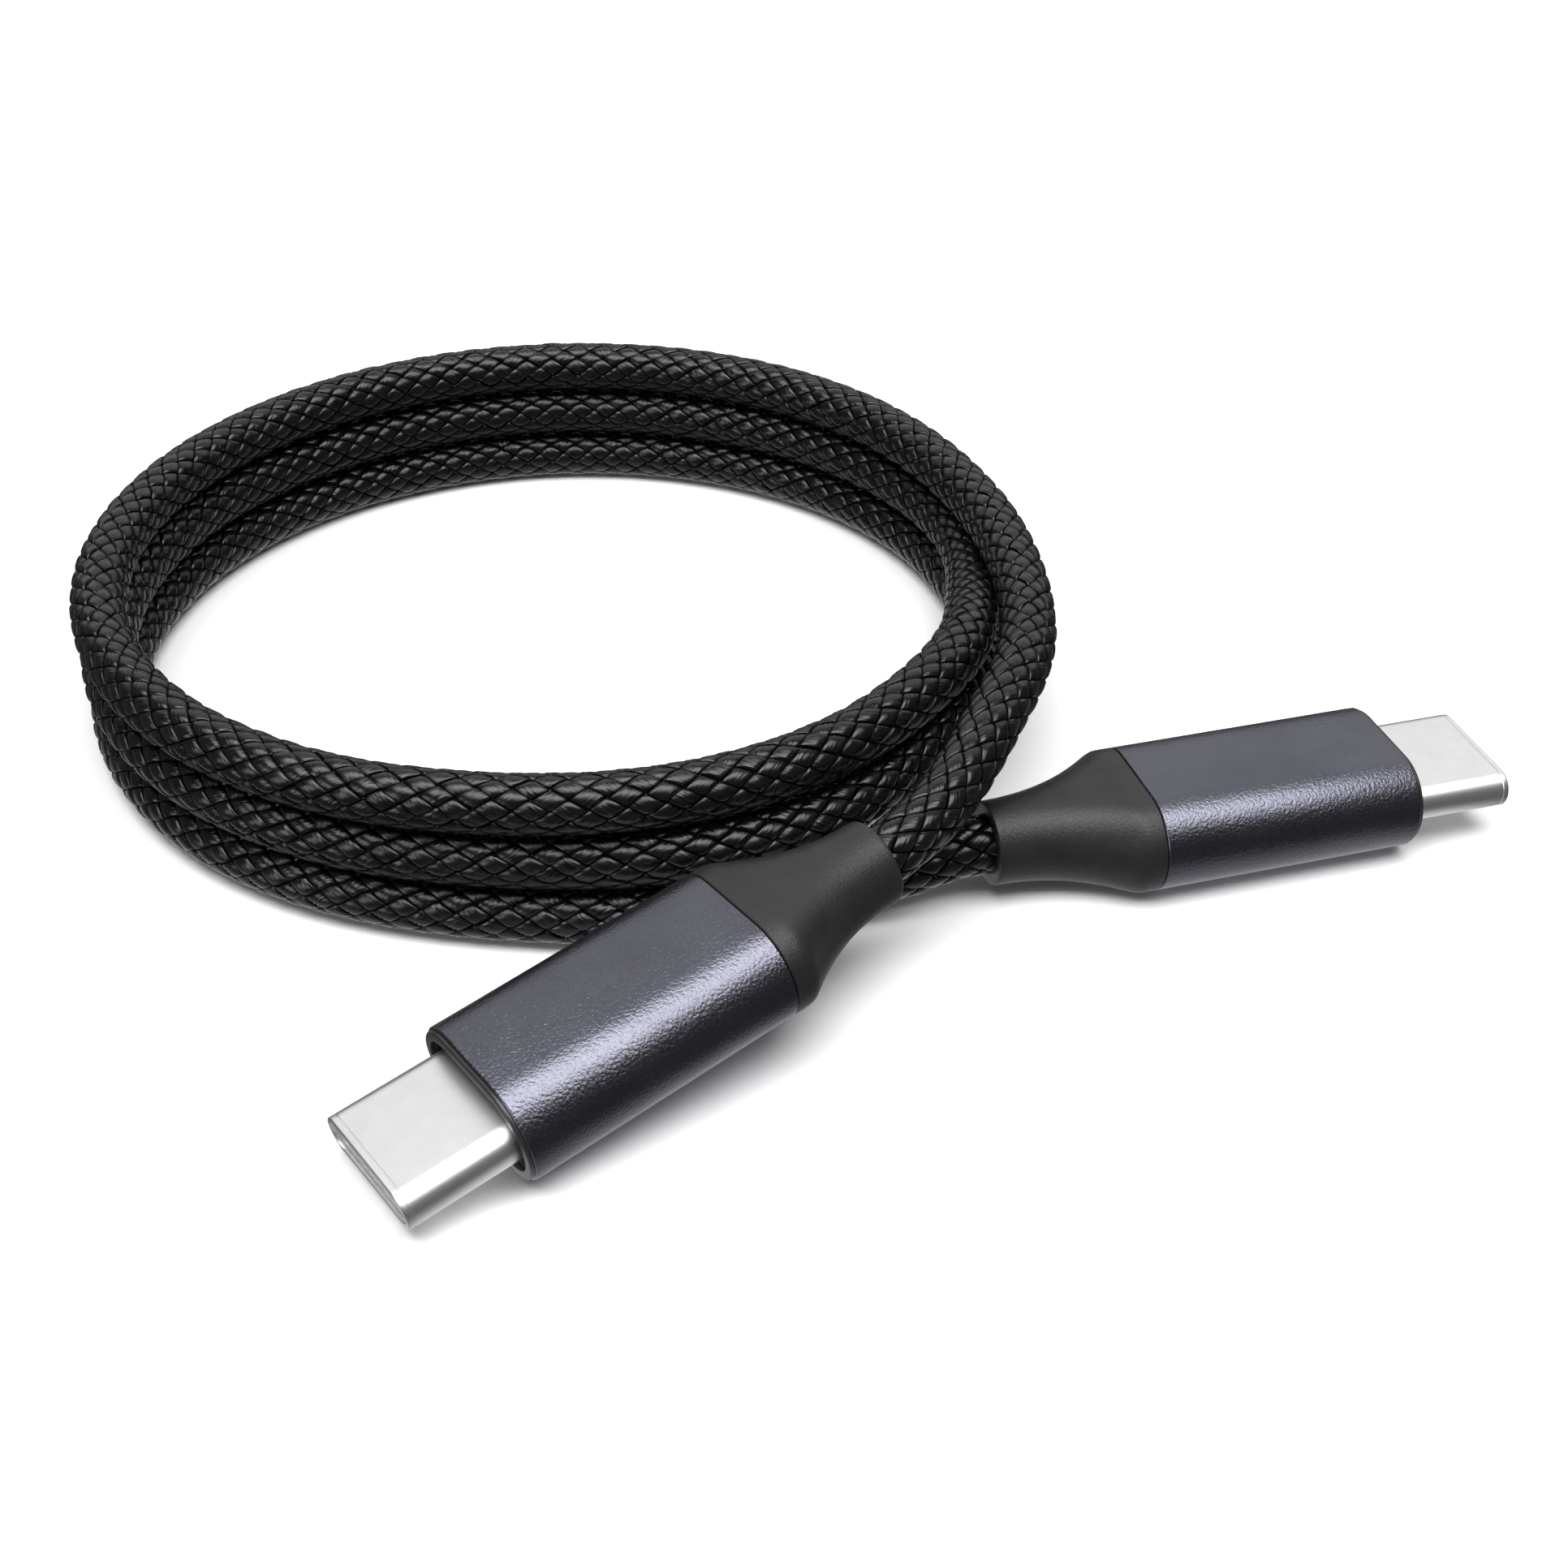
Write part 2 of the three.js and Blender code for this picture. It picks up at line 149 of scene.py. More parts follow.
class Shader:
    """A small helper that makes nodes of one material and wires them up."""

    def __init__(self, name):
        self.material = bpy.data.materials.new(name)
        self.material.use_nodes = True
        self.tree = self.material.node_tree
        self.bsdf = self.tree.nodes["Principled BSDF"]

    def node(self, kind, settings=None, **inputs):
        made = self.tree.nodes.new(kind)
        for key, value in (settings or {}).items():
            setattr(made, key, value)
        for key, value in inputs.items():
            self.put(made, key.replace("_", " "), value)
        return made

    def put(self, node, socket, value):
        if isinstance(value, bpy.types.NodeSocket):
            self.tree.links.new(value, node.inputs[socket])
        else:
            node.inputs[socket].default_value = value

    def surface(self, **values):
        for key, value in values.items():
            self.put(self.bsdf, key.replace("_", " "), value)

    def position(self, scale=(1, 1, 1)):
        """Object coordinates in millimetres, stretched by `scale`."""
        coord = self.node("ShaderNodeTexCoord")
        stretch = self.node("ShaderNodeMapping", Vector=coord.outputs["Object"])
        stretch.inputs["Scale"].default_value = [1000 * s for s in scale]
        return stretch.outputs["Vector"]

    def noise(self, vector, scale, detail=2.0, rough=0.5):
        made = self.node(
            "ShaderNodeTexNoise", Vector=vector, Scale=scale, Detail=detail, Roughness=rough
        )
        return made.outputs["Fac"]

    def spread(self, value, low, high, from_low=0.3, from_high=0.7):
        made = self.node("ShaderNodeMapRange", Value=value)
        made.inputs["From Min"].default_value = from_low
        made.inputs["From Max"].default_value = from_high
        made.inputs["To Min"].default_value = low
        made.inputs["To Max"].default_value = high
        return made.outputs["Result"]

    def tint(self, value, low, high):
        made = self.node("ShaderNodeMix", {"data_type": "RGBA"})
        self.put(made, 0, value)
        made.inputs[MIX_A].default_value = (*low, 1)
        made.inputs[MIX_B].default_value = (*high, 1)
        return made.outputs[MIX_RESULT]

    def blend(self, value, low, high):
        """Mixes a colour socket with a plain colour."""
        made = self.node("ShaderNodeMix", {"data_type": "RGBA"})
        self.put(made, 0, value)
        self.put(made, MIX_A, low)
        made.inputs[MIX_B].default_value = (*high, 1)
        return made.outputs[MIX_RESULT]

    def math(self, operation, first, second=0.0):
        made = self.node("ShaderNodeMath", {"operation": operation})
        self.put(made, 0, first)
        self.put(made, 1, second)
        return made.outputs[0]

    def centred(self, value, middle):
        """How far a repeating value is from `middle`: 0 there and 0.5 half a step away."""
        shifted = self.math("ADD", value, 0.5 - middle)
        part = self.math("FRACT", shifted)
        return self.math("ABSOLUTE", self.math("SUBTRACT", part, 0.5))

    def relief(self, height, distance_mm, strength=1.0, after=None):
        made = self.node("ShaderNodeBump", Height=height, Strength=strength)
        made.inputs["Distance"].default_value = distance_mm * MM
        if after is not None:
            self.put(made, "Normal", after)
        return made.outputs["Normal"]


def anodised_metal():
    """Bead-blasted aluminium under a dark, slightly violet oxide."""
    s = Shader("anodised")
    place = s.position()
    grain = s.noise(place, 6.0, 2.0, 0.5)
    fine = s.noise(place, 18.0, 2.0, 0.5)
    clouds = s.noise(place, 0.3, 2.0)
    bump = s.relief(grain, 0.055, 0.7)
    bump = s.relief(fine, 0.01, 0.5, after=bump)
    s.surface(
        Base_Color=s.tint(s.spread(clouds, 0, 1), (0.112, 0.112, 0.136), (0.130, 0.130, 0.156)),
        Roughness=s.spread(grain, 0.27, 0.36),
        Normal=bump,
        Metallic=1.0,
    )
    return s.material


def soft_moulding():
    """Charcoal elastomer with a fine satin grain."""
    s = Shader("soft_moulding")
    place = s.position()
    grain = s.noise(place, 7.0, 3.0, 0.6)
    clouds = s.noise(place, 0.5, 2.0)
    s.surface(
        Base_Color=s.tint(s.spread(clouds, 0, 1), (0.009, 0.009, 0.0095), (0.013, 0.013, 0.0138)),
        Roughness=s.spread(grain, 0.38, 0.52),
        Normal=s.relief(grain, 0.05, 0.6),
        Specular_IOR_Level=0.4,
    )
    return s.material


def black_plastic():
    """Glossy black moulding round the connector."""
    s = Shader("black_plastic")
    grain = s.noise(s.position(), 12.0, 3.0, 0.6)
    s.surface(
        Base_Color=s.tint(s.spread(grain, 0, 1), (0.011, 0.011, 0.012), (0.018, 0.018, 0.019)),
        Roughness=s.spread(grain, 0.3, 0.42),
        Normal=s.relief(grain, 0.006, 0.4),
    )
    return s.material


def drawn_metal(name, color, low, high):
    """Bare metal of the given colour, its roughness between low and high."""
    s = Shader(name)
    place = s.position()
    grain = s.noise(place, 14.0, 4.0, 0.6)
    patches = s.noise(place, 0.8, 3.0)
    dark = tuple(0.94 * c for c in color)
    s.surface(
        Base_Color=s.tint(s.spread(patches, 0, 1), dark, color),
        Roughness=s.spread(grain, low, high),
        Normal=s.relief(grain, 0.003, 0.35),
        Metallic=1.0,
    )
    return s.material


def moulded(name, low, high, rough=0.5):
    """Plain moulded plastic or laminate with a little variation."""
    s = Shader(name)
    grain = s.noise(s.position(), 6.0, 3.0, 0.6)
    s.surface(
        Base_Color=s.tint(s.spread(grain, 0, 1), low, high),
        Roughness=s.spread(grain, rough - 0.08, rough + 0.08),
        Normal=s.relief(grain, 0.008, 0.4),
    )
    return s.material


def braid_material():
    """Flat bands of glossy black filaments. The UVs run across and along each band: every
    whole step across is another band, and every whole step along is one place where the
    band lies on top. Both ends and both edges of such a place are painted with shade,
    near-black colour and faded reflection, standing in for the shadow in a dark crease."""
    s = Shader("braid")
    coord = s.node("ShaderNodeTexCoord").outputs["UV"]
    split = s.node("ShaderNodeSeparateXYZ", Vector=coord)
    edge = s.centred(split.outputs["X"], 0.5)
    end = s.centred(split.outputs["Y"], 0.0)
    # painted shade: near each band's edges and ends the colour turns near black and the
    # reflection fades, in place of the shadow in the creases between bands
    painted_crease_shade = s.math(
        "MAXIMUM", s.spread(edge, 0, 1, 0.43, 0.49), s.spread(end, 0, 1, 0.2, 0.25)
    )
    along = s.node("ShaderNodeMapping", Vector=coord)
    along.inputs["Scale"].default_value = (9.0, 0.4, 1.0)
    fibres = s.noise(along.outputs["Vector"], 1.0, 2.0, 0.6)
    wide = s.node("ShaderNodeMapping", Vector=coord)
    wide.inputs["Scale"].default_value = (1.3, 0.4, 1.0)
    patches = s.noise(wide.outputs["Vector"], 1.0, 2.0)
    black, fibre = (0.0008, 0.0008, 0.0009), (0.0065, 0.0065, 0.0071)
    lit = s.tint(s.spread(fibres, 0, 1), (0.001, 0.001, 0.0011), fibre)
    s.surface(
        Base_Color=s.blend(painted_crease_shade, lit, black),
        Roughness=s.spread(patches, 0.14, 0.25),
        Normal=s.relief(fibres, 0.07, 0.6),
        Specular_IOR_Level=s.spread(painted_crease_shade, 0.4, 0.02, 0.0, 1.0),
    )
    return s.material


def make_materials():
    steel = (0.82, 0.82, 0.815)
    return {
        "anodised": anodised_metal(),
        "soft_moulding": soft_moulding(),
        "black_plastic": black_plastic(),
        "steel": drawn_metal("steel", steel, 0.32, 0.38),
        "spring_steel": drawn_metal("spring_steel", (0.5, 0.5, 0.5), 0.25, 0.38),
        "insulator": moulded("insulator", (0.72, 0.72, 0.71), (0.8, 0.8, 0.79)),
        "gold": drawn_metal("gold", (0.75, 0.45, 0.12), 0.2, 0.3),
        "laminate": moulded("laminate", (0.01, 0.08, 0.03), (0.016, 0.12, 0.04), 0.45),
        "chip": moulded("chip", (0.008, 0.008, 0.009), (0.014, 0.014, 0.015), 0.55),
        "hot_melt": moulded("hot_melt", (0.6, 0.57, 0.48), (0.72, 0.69, 0.6), 0.55),
        "braid": braid_material(),
        "jacket": moulded("jacket", (0.012, 0.012, 0.013), (0.02, 0.02, 0.021), 0.6),
        "red": moulded("red", (0.38, 0.008, 0.008), (0.46, 0.014, 0.014)),
        "black": moulded("black", (0.005, 0.005, 0.005), (0.01, 0.01, 0.01)),
        "blue": moulded("blue", (0.01, 0.04, 0.3), (0.015, 0.06, 0.38)),
        "green": moulded("green", (0.01, 0.16, 0.03), (0.015, 0.23, 0.04)),
        "white": moulded("white", (0.7, 0.7, 0.7), (0.82, 0.82, 0.82)),
    }


# ---- Mesh helpers -----------------------------------------------------------------

def new_mesh(name, points_mm, faces, material, matrix=None):
    """A smooth-shaded object of the given points, in millimetres, placed by `matrix`."""
    mesh = bpy.data.meshes.new(name)
    points = [Vector(p) * MM for p in points_mm]
    if matrix is not None:
        points = [matrix @ p for p in points]
    mesh.from_pydata([tuple(p) for p in points], [], faces)
    mesh.validate()
    mesh.materials.append(material)
    for polygon in mesh.polygons:
        polygon.use_smooth = True
    mesh.set_sharp_from_angle(angle=CREASE_ANGLE)
    made = bpy.data.objects.new(name, mesh)
    bpy.context.collection.objects.link(made)
    return made


def stadium(x, width, thick, steps=18):
    """A loop across a plug's axis, with `steps` spans on each round end."""
    r = thick / 2
    shift = width / 2 - r
    loop = []
    for side in (1, -1):
        for i in range(steps + 1):
            a = math.pi * (i / steps - 0.5)
            y = side * (shift + r * math.cos(a))
            z = side * r * math.sin(a)
            loop.append((x, y, z))
    return loop


def skin(loops, closed):
    """Faces over loops in a row; closed joins the last loop to the first."""
    n = len(loops[0])
    points = [p for loop in loops for p in loop]
    faces = []
    bands = len(loops) if closed else len(loops) - 1
    for k in range(bands):
        here = k * n
        there = ((k + 1) % len(loops)) * n
        for i in range(n):
            j = (i + 1) % n
            faces.append((here + i, here + j, there + j, there + i))
    return points, faces


def profile_body(name, profile, material, matrix):
    """A closed ring-shaped body whose loops follow `profile`: (x, width, thickness) rows."""
    points, faces = skin([stadium(*row) for row in profile], True)
    return new_mesh(name, points, faces, material, matrix)


def rounded(row, end, steps=4, x_first=True):
    """Rows that turn a corner as a quarter round; it starts along x or across it."""
    rows = []
    for i in range(steps + 1):
        a = math.pi / 2 * i / steps
        u, v = math.sin(a), 1 - math.cos(a)
        if not x_first:
            u, v = v, u
        rows.append((
            row[0] + (end[0] - row[0]) * u,
            row[1] + (end[1] - row[1]) * v,
            row[2] + (end[2] - row[2]) * v,
        ))
    return rows


# ---- The cord -----------------------------------------------------------------------

def hump(angle, height, middle, half):
    """A smooth rise to `height` at `middle`, and nothing beyond `half` degrees from it."""
    t = abs(angle - middle) / half
    return height * (math.cos(math.pi / 2 * t) ** 2 if t < 1 else 0.0)


def merge(angle):
    """How far outside the coil lead A lies while it closes in on the top turn."""
    return MERGE_OUT * ((MERGE_END - angle) / (MERGE_END - MERGE_START)) ** MERGE_POWER


def leave(angle):
    """How far outside the coil the bottom turn lies as it parts into lead B."""
    t = max(0.0, (angle - LEAVE_START) / (LEAVE_END - LEAVE_START))
    return LEAVE_OUT * t ** LEAVE_POWER


def swell(angle, local):
    """Every turn swells out a little at the near right, beside plug A's boot, and the
    middle one most."""
    return hump(local, *SWELL_ALL) + hump(angle, *SWELL_MIDDLE_TURN)


def draw_in(angle):
    """The turn under lead A draws in, at the right, to pass inside it."""
    return hump(angle, *DRAW_IN)


def coil_points():
    """The wound cord from the top turn down, a point every COIL_STEP degrees. Each turn
    lies a cord's width below the last and steps down to it at the right."""
    points = []
    angle = COIL_START
    while angle <= COIL_END:
        turn, past_drop = divmod(angle - DROP_START, 360)
        local = (angle + 180) % 360 - 180
        z = TOP_LEVEL - LEVEL * turn
        r = COIL_R + swell(angle, local)
        if turn > 0:
            z += LEVEL * (1 - ease(min(1.0, past_drop / DROP_SPAN)))
        if turn == 1:
            r -= draw_in(local)
        if turn == 0 and angle < MERGE_END:
            r = COIL_R + merge(angle)
        if angle > COIL_LEVELS * 360 + LEAVE_START:
            r += leave(local)
        turned = math.radians(angle)
        x, y = COIL_CENTRE + r * np.array((math.cos(turned), math.sin(turned)))
        points.append((x, y, z))
        angle += COIL_STEP
    return points


def smooth_line(points, spacing):
    """Points evenly spaced along a smooth curve close to the given ones."""
    p = np.array(points, float)
    ends = [2 * p[0] - p[1]], [2 * p[-1] - p[-2]]
    p = np.concatenate((ends[0], p, ends[1]))
    knots = np.concatenate(([0], np.cumsum(np.linalg.norm(np.diff(p, axis=0), axis=1) ** 0.5)))
    line = []
    for i in range(1, len(p) - 2):
        t0, t1, t2, t3 = knots[i - 1:i + 3]
        for t in np.linspace(t1, t2, LINE_SPANS, endpoint=False):
            a1 = ((t1 - t) * p[i - 1] + (t - t0) * p[i]) / (t1 - t0)
            a2 = ((t2 - t) * p[i] + (t - t1) * p[i + 1]) / (t2 - t1)
            a3 = ((t3 - t) * p[i + 1] + (t - t2) * p[i + 2]) / (t3 - t2)
            b1 = ((t2 - t) * a1 + (t - t0) * a2) / (t2 - t0)
            b2 = ((t3 - t) * a2 + (t - t1) * a3) / (t3 - t1)
            line.append(((t2 - t) * b1 + (t - t1) * b2) / (t2 - t1))
    line.append(p[-2])
    line = np.array(line)
    for _ in range(LINE_ROUNDS):
        line[1:-1] += 0.5 * (0.5 * (line[:-2] + line[2:]) - line[1:-1])
    return evenly(line, spacing)


def evenly(line, spacing):
    """The same line with its points about `spacing` apart."""
    far = np.concatenate(([0], np.cumsum(np.linalg.norm(np.diff(line, axis=0), axis=1))))
    count = int(round(far[-1] / spacing)) + 1
    at = np.linspace(0, far[-1], count)
    return np.stack([np.interp(at, far, line[:, k]) for k in range(3)], axis=1)


def cord_line(spacing):
    start = [plug_point("plug_a", BOOT_BACK + CORD_INSIDE_BOOT)]
    end = [plug_point("plug_b", BOOT_BACK + CORD_INSIDE_BOOT)]
    return smooth_line(start + LEAD_A + coil_points() + LEAD_B[::-1] + end, spacing)


def sideways(line):
    """Unit vectors along, across and above the line at each of its points."""
    ahead = np.gradient(line, axis=0)
    ahead /= np.linalg.norm(ahead, axis=1)[:, None]
    across = np.cross(ahead, (0, 0, 1))
    across /= np.linalg.norm(across, axis=1)[:, None]
    above = np.cross(across, ahead)
    return ahead, across, above


def band_profile():
    """Places across a band from edge to edge, and how far each lies below the middle."""
    places = np.array((-1, -0.96, -0.86, -0.5, 0, 0.5, 0.86, 0.96, 1))
    return places, BAND_ROUND * places ** 2 + BAND_EDGE * places ** 14


def weave(row):
    """Over (1) or under (-1) the other family; every whole `row` is one place on top."""
    return np.tanh(BAND_TURN * np.cos(2 * np.pi * row)) / math.tanh(BAND_TURN)


def slack(far, rng):
    """A small unevenness along one band, in the run of a few millimetres."""
    knots = np.arange(0, far[-1] + SLACK_RUN, SLACK_RUN)
    return np.interp(far, knots, rng.normal(size=len(knots)))


def braid(material, core_material):
    """Sixteen bands woven one over, one under round a dark core."""
    line = cord_line(BRAID_STEP)
    _, across, above = sideways(line)
    far = np.linspace(0, length_of(line), len(line))
    middle = CORD_D / 2 - BAND_WAVE - BAND_CLEAR
    half_turn = BAND_COVER * math.pi / BANDS
    places, drops = band_profile()
    rng = np.random.default_rng(SLACK_SEED)
    points, uvs, faces = [], [], []
    base = 0
    n = len(line)
    for way in (1, -1):
        row_shift = 0.0 if way > 0 else 0.5
        for k in range(BANDS):
            twist = 2 * np.pi * (k / BANDS + way * far / LAY_LENGTH)
            twist = twist + SLACK_TWIST * slack(far, rng)
            lift = middle + SLACK_LIFT * slack(far, rng)
            band = k + BANDS * (way < 0)
            for v, drop in zip(places, drops):
                row = far / WEAVE_PITCH + row_shift + way * v * BAND_COVER / 4
                a = (twist + v * half_turn)[:, None]
                radius = (lift + BAND_WAVE * weave(row) - drop)[:, None]
                points.append(line + radius * (np.cos(a) * across + np.sin(a) * above))
                uvs.append(np.stack((np.full(n, band + 0.5 + BAND_UV_HALF * v), row), axis=1))
            for j in range(len(places) - 1):
                low = base + j * n + np.arange(n - 1)
                faces.append(np.stack((low, low + 1, low + n + 1, low + n), axis=1))
            base += len(places) * n
    band_faces = sum(len(f) for f in faces)
    core_r = middle - BAND_WAVE - BAND_ROUND
    core_line = line[::CORE_SKIP]
    _, core_across, core_above = sideways(core_line)
    m = len(core_line)
    for j in range(CORE_SIDES):
        a = 2 * np.pi * j / CORE_SIDES
        points.append(core_line + core_r * (math.cos(a) * core_across + math.sin(a) * core_above))
        uvs.append(np.zeros((m, 2)))
    for j in range(CORE_SIDES):
        here = base + j * m + np.arange(m - 1)
        there = base + ((j + 1) % CORE_SIDES) * m + np.arange(m - 1)
        faces.append(np.stack((here, here + 1, there + 1, there), axis=1))
    made = raw_mesh(
        "cord_braid", np.concatenate(points), np.concatenate(faces), np.concatenate(uvs),
        [material, core_material], band_faces,
    )
    return made, line


def length_of(line):
    """The length of a line through its points."""
    return float(np.linalg.norm(np.diff(line, axis=0), axis=1).sum())


def raw_mesh(name, points, faces, uvs, materials, first_count):
    """A large mesh made straight from arrays; faces after first_count take slot 1."""
    mesh = bpy.data.meshes.new(name)
    mesh.vertices.add(len(points))
    mesh.vertices.foreach_set("co", (points * MM).astype(np.float32).ravel())
    mesh.loops.add(4 * len(faces))
    mesh.loops.foreach_set("vertex_index", faces.astype(np.int32).ravel())
    mesh.polygons.add(len(faces))
    mesh.polygons.foreach_set("loop_start", np.arange(0, 4 * len(faces), 4, dtype=np.int32))
    slots = np.zeros(len(faces), dtype=np.int32)
    slots[first_count:] = 1
    for material in materials:
        mesh.materials.append(material)
    mesh.update(calc_edges=True)
    mesh.polygons.foreach_set("material_index", slots)
    mesh.polygons.foreach_set("use_smooth", np.ones(len(faces), dtype=bool))
    layer = mesh.uv_layers.new(name="UVMap")
    layer.data.foreach_set("uv", uvs[faces.ravel()].astype(np.float32).ravel())
    mesh.validate()
    mesh.update()
    made = bpy.data.objects.new(name, mesh)
    bpy.context.collection.objects.link(made)
    return made


# ---- The plugs ------------------------------------------------------------------------

def plug_matrices():
    """Each plug's place, from its mounts: +X out of the mouth, +Z through its broad flat."""
    mounts = {m["name"]: m for m in frame["record"]["mounts"]}
    places = {}
    for plug in PLUGS:
        x = Vector(mounts[f"{plug}_shoulder"]["axis"]).normalized()
        z = Vector(mounts[f"{plug}_broad_flat"]["axis"]).normalized()
        y = z.cross(x)
        turn = Matrix((x, y, z)).transposed().to_4x4()
        origin = Vector(mounts[f"{plug}_shoulder"]["pos_m"]) - z * SHOULDER_Z * MM
        places[plug] = Matrix.Translation(origin) @ turn
    return places


PLACES = plug_matrices()


def plug_point(plug, x):
    """A point on a plug's axis, in millimetres in the part's frame."""
    return tuple(PLACES[plug] @ Vector((x * MM, 0, 0)) / MM)


def sleeve(plug, look):
    """The metal tube, with a rounded front rim and a slight chamfer at its back."""
    w, t = SLEEVE_W, SLEEVE_T
    inner_w, inner_t = w - 2 * SLEEVE_WALL, t - 2 * SLEEVE_WALL
    edge, turned, back_edge = 0.16, 0.06, 0.05
    rows = [(-SLEEVE_L, w - 2 * back_edge, t - 2 * back_edge)]
    rows += [(-SLEEVE_L + back_edge, w, t), (-SLEEVE_L / 2, w, t)]
    rows += rounded((-edge, w, t), (0, w - 2 * edge, t - 2 * edge))
    rows += rounded(
        (0, inner_w + 2 * turned, inner_t + 2 * turned), (-turned, inner_w, inner_t), 3, False
    )
    rows += [(-SLEEVE_L, inner_w, inner_t)]
    return profile_body(f"{plug}_sleeve_metal", rows, look, PLACES[plug])


def bezel(plug, look):
    """The black insert round the connector: a lip that covers the sleeve's rim, then
    steps that shrink towards the connector."""
    gap = 0.02
    w = SLEEVE_W - 2 * SLEEVE_WALL - gap
    t = SLEEVE_T - 2 * SLEEVE_WALL - gap
    inner_w, inner_t = SHELL_W + 2 * gap, SHELL_T + 2 * gap
    lip_w, lip_t = SLEEVE_W - 0.3, SLEEVE_T - 0.3
    lip_back, lip_front, lip_edge = 0.01, 0.22, 0.12
    back = -2.7

    def row(x, k):
        """A loop at x, the share k of the way from the connector to the sleeve's bore."""
        return x, inner_w + (w - inner_w) * k, inner_t + (t - inner_t) * k

    rows = [row(back, 1), row(lip_back, 1), (lip_back, lip_w, lip_t)]
    rows += rounded(
        (lip_front - lip_edge, lip_w, lip_t),
        (lip_front, lip_w - 2 * lip_edge, lip_t - 2 * lip_edge), 3,
    )
    for x, wide, turned, behind, narrow in BEZEL_STEPS:
        rows += [row(x, wide), row(x - BEZEL_SOFT, turned), row(behind, narrow)]
    rows += [row(BEZEL_STEPS[-1][3], 0), row(back, 0)]
    return profile_body(f"{plug}_bezel_insert", rows, look, PLACES[plug])


def connector(plug, look):
    """The drawn steel shell, with its rolled lip and a fine groove behind the mouth."""
    w, t = SHELL_W, SHELL_T
    wall, rolled = 2 * SHELL_WALL, 0.62  # both walls together, behind the lip and at it
    r = 0.09  # of the lip's edges
    groove, groove_w, groove_d = SHELL_REACH - 0.34, 0.09, 0.06
    rows = [(SHELL_ROOT, w, t), (groove - groove_w, w, t)]
    rows += [(groove - share * groove_w, w - groove_d, t - groove_d) for share in (0.7, 0.3)]
    rows += [(groove, w, t)]
    rows += rounded((SHELL_REACH - r, w, t), (SHELL_REACH, w - 2 * r, t - 2 * r))
    rows += rounded(
        (SHELL_REACH, w - rolled + 2 * r, t - rolled + 2 * r),
        (SHELL_REACH - r, w - rolled, t - rolled), x_first=False,
    )
    rows += rounded(
        (SHELL_REACH - 2 * r, w - rolled, t - rolled), (SHELL_REACH - 3 * r, w - wall, t - wall)
    )
    rows += [(SHELL_ROOT, w - wall, t - wall)]
    return profile_body(f"{plug}_connector_steel", rows, look, PLACES[plug])


def boot(plug, look):
    """The strain relief: flush with the sleeve, then scooped in to a round neck."""
    bore = CORD_D - 0.35  # it grips the cord
    mouth_in, mouth_out = 0.05, 0.15
    edge, seam = 0.12, 0.06
    shoulder, steps = 0.35, 30
    spigot_end = BOOT_FRONT + 1.0
    spigot_w = SLEEVE_W - 2 * SLEEVE_WALL - 0.1
    spigot_t = SLEEVE_T - 2 * SLEEVE_WALL - 0.1
    start = BOOT_FRONT - BOOT_FLANGE
    span = BOOT_BACK + edge - start
    rows = [(BOOT_BACK + mouth_in, bore, bore)]
    rows += [(BOOT_BACK, bore + mouth_out, bore + mouth_out)]
    rows += rounded(
        (BOOT_BACK, BOOT_END_D - 2 * edge, BOOT_END_D - 2 * edge),
        (BOOT_BACK + edge, BOOT_END_D, BOOT_END_D), 3, x_first=False,
    )[:-1]
    for i in range(steps + 1):
        x = start + shoulder + (span - shoulder) * (1 - i / steps)
        narrow = scoop((x - start) / span, shoulder / -span)
        width = SLEEVE_W + (BOOT_END_D - SLEEVE_W) * narrow
        thick = SLEEVE_T + (BOOT_END_D - SLEEVE_T) * narrow
        rows.append((x, width, thick))
    rows += [(BOOT_FRONT - seam, SLEEVE_W, SLEEVE_T)]
    rows += [(BOOT_FRONT, SLEEVE_W - 2 * seam, SLEEVE_T - 2 * seam)]
    rows += [(BOOT_FRONT, spigot_w, spigot_t), (spigot_end, spigot_w, spigot_t)]
    rows += [(spigot_end, bore, bore)]
    return profile_body(f"{plug}_strain_relief", rows, look, PLACES[plug])


def scoop(t, soft):
    """How far the boot has narrowed: quickly at first, then levelling off. The corner at
    its start, t = 0, is rounded over `soft` to each side."""
    if t <= -soft:
        return 0.0
    if t < soft:
        t = (t + soft) ** 2 / (4 * soft)
    return 1 - (1 - t) ** SCOOP_POWER


def ease(t):
    """From 0 to 1, level at both ends."""
    return t * t * (3 - 2 * t)


# ---- Stage ----------------------------------------------------------------------------

def make_camera():
    data = bpy.data.cameras.new("camera")
    data.lens = CAMERA_LENS
    data.sensor_width = CAMERA_SENSOR
    data.clip_start = 0.005
    data.clip_end = 20
    made = bpy.data.objects.new("camera", data)
    made.location = CAMERA_PLACE
    made.rotation_euler = (math.pi / 2 - CAMERA_DOWN, 0, 0)
    bpy.context.collection.objects.link(made)
    bpy.context.scene.camera = made


def area_light(name, place, target, size, size_y, power, color):
    data = bpy.data.lights.new(name, "AREA")
    data.shape = "RECTANGLE"
    data.size = size
    data.size_y = size_y
    data.energy = power
    data.color = color
    made = bpy.data.objects.new(name, data)
    made.location = place
    aim = Vector(target) - Vector(place)
    made.rotation_euler = aim.to_track_quat("-Z", "Y").to_euler()
    bpy.context.collection.objects.link(made)
    return made


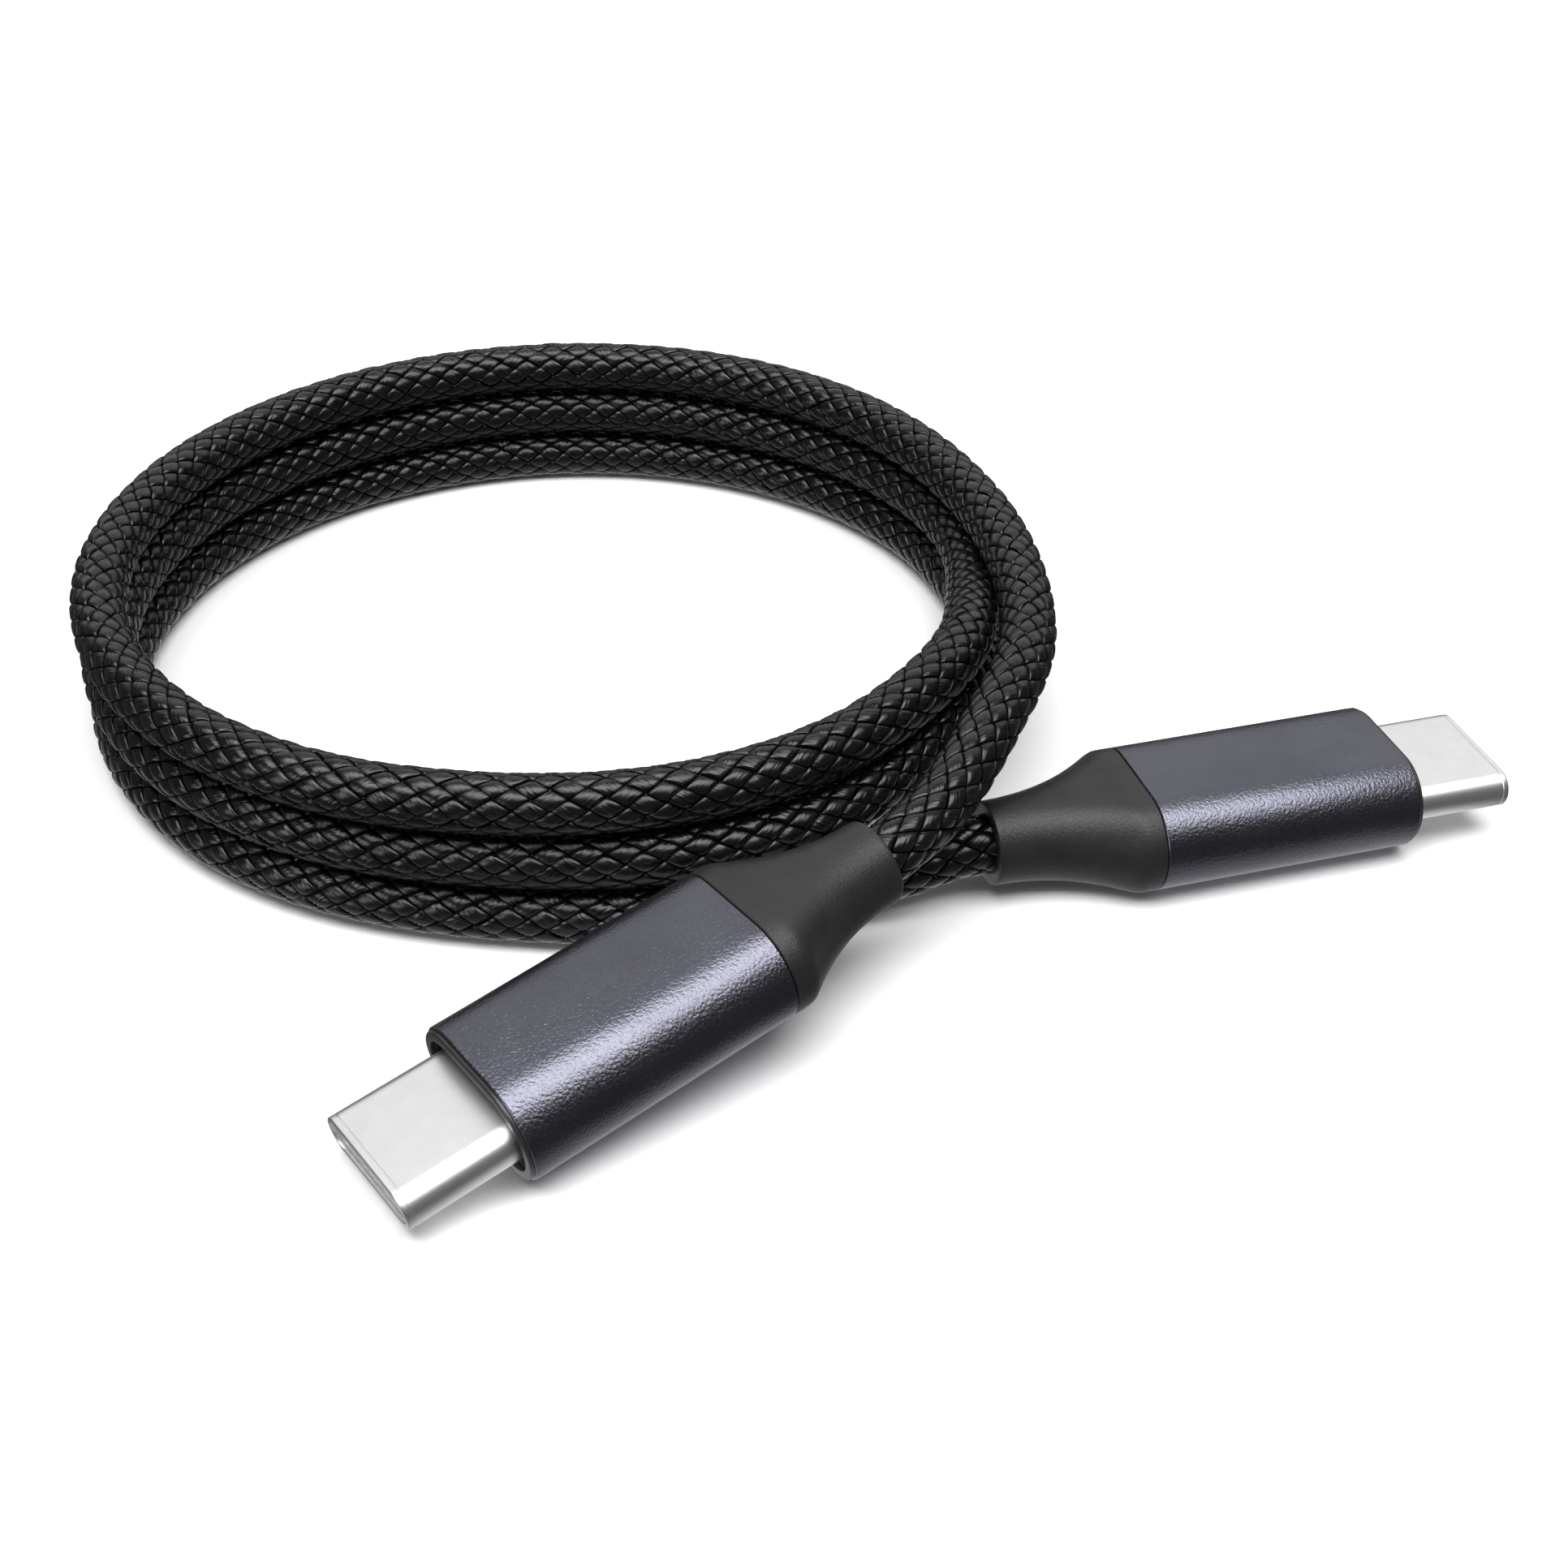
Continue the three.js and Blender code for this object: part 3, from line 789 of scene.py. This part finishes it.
def make_floor():
    """A pale floor. Reflected in the object it shows a painted reflection, an emission that only
    glossy rays see: dark, as a black room would look, but for a bright rim close round whatever
    stands on it, as a lit table would look."""
    mesh = bpy.data.meshes.new("floor")
    far = FLOOR_HALF
    mesh.from_pydata(
        [(-far, -far, 0), (far, -far, 0), (far, far, 0), (-far, far, 0)], [], [(0, 1, 2, 3)]
    )
    s = Shader("floor")
    grain = s.noise(s.position(), 0.8, 2.0)
    s.surface(
        Base_Color=s.tint(grain, (0.86, 0.86, 0.86), (0.88, 0.88, 0.88)),
        Roughness=0.9,
        Specular_IOR_Level=0.1,
    )
    # painted reflection: to glossy rays the floor glows, brightly where it is near an object and
    # dimly further off; it is no lamp
    near = s.node("ShaderNodeAmbientOcclusion", {"samples": 4}, Distance=FLOOR_RIM)
    shine = s.spread(near.outputs["AO"], PAINTED_RIM_REFLECTION, PAINTED_FLOOR_REFLECTION, RIM_FROM, RIM_TO)
    painted_reflection_glow = s.node("ShaderNodeEmission", Strength=shine)
    ray = s.node("ShaderNodeLightPath")
    pick = s.node("ShaderNodeMixShader")
    s.put(pick, 0, ray.outputs["Is Glossy Ray"])
    s.put(pick, 1, s.bsdf.outputs["BSDF"])
    s.put(pick, 2, painted_reflection_glow.outputs["Emission"])
    s.tree.links.new(pick.outputs[0], s.tree.nodes["Material Output"].inputs["Surface"])
    s.material.cycles.emission_sampling = "NONE"
    mesh.materials.append(s.material)
    made = bpy.data.objects.new("floor", mesh)
    bpy.context.collection.objects.link(made)


def make_world():
    """A pale backdrop to look at, which lights the object only faintly."""
    world = bpy.data.worlds.new("studio")
    world.use_nodes = True
    back = world.node_tree.nodes["Background"]
    back.inputs["Color"].default_value = (1, 1, 1, 1)
    nodes, links = world.node_tree.nodes, world.node_tree.links
    seen = nodes.new("ShaderNodeLightPath").outputs["Is Camera Ray"]
    strength = nodes.new("ShaderNodeMapRange")
    strength.inputs["To Min"].default_value = WORLD_SHINE
    strength.inputs["To Max"].default_value = 1.0
    links.new(seen, strength.inputs["Value"])
    links.new(strength.outputs["Result"], back.inputs["Strength"])
    bpy.context.scene.world = world


def panel(name, up, round_by, width, height, shine, color=(1, 1, 1)):
    """A soft panel at a height angle `up` and turned `round_by` from the far side, both in
    degrees, seen from the cable; `shine` is how bright it looks."""
    up, round_by = math.radians(up), math.radians(round_by)
    flat = math.cos(up)
    aim = Vector((math.sin(round_by) * flat, math.cos(round_by) * flat, math.sin(up)))
    place = Vector(STAGE_MIDDLE) + aim * PANEL_FAR
    power = shine * math.pi * width * height
    return area_light(name, place, STAGE_MIDDLE, width, height, power, color)


def make_lights():
    panel("overhead", OVERHEAD_UP, 0.0, 0.72, 0.33, 6.8, OVERHEAD_TINT)
    panel("overhead_skirt", OVERHEAD_UP, 0.0, 0.8, 0.6, 0.8, OVERHEAD_TINT)
    panel("far_wall", 36.0, 0.0, 1.0, 0.46, 0.85)
    panel("left_card", 12.0, -128.0, 0.25, 0.2, 4.0)


def set_view():
    view = bpy.context.scene.view_settings
    view.view_transform = "Standard"
    view.look = "None"


# ---- Assembly -------------------------------------------------------------------------

SLOTS = {row["node"]: row["material_slot"] for row in frame["record"]["subparts"]}
CORD_SOLIDS = ("cord_coil", "cord_lead_a", "cord_lead_b")
REBUILT = {"sleeve": sleeve, "bezel": bezel, "connector_shell": connector, "boot": boot}


def finish_piece(made, slot_name, *nodes):
    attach(made, "root")
    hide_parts(*nodes)


def make_cord(looks):
    made, line = braid(looks["braid"], looks["jacket"])
    finish_piece(made, "braid", *CORD_SOLIDS)


def make_plugs(looks):
    for plug in PLUGS:
        for part, build in REBUILT.items():
            node = f"{plug}_{part}"
            finish_piece(build(plug, looks[SLOTS[node]]), SLOTS[node], node)


def dress_cad_nodes(looks):
    """The pieces inside the plugs stay as they are and take finished materials."""
    for name, node in frame["nodes"].items():
        if node.material_slots:
            node.material_slots[0].material = looks[SLOTS[name]]


make_camera()
looks = make_materials()
make_plugs(looks)
make_cord(looks)
dress_cad_nodes(looks)
make_floor()
make_world()
make_lights()
set_view()
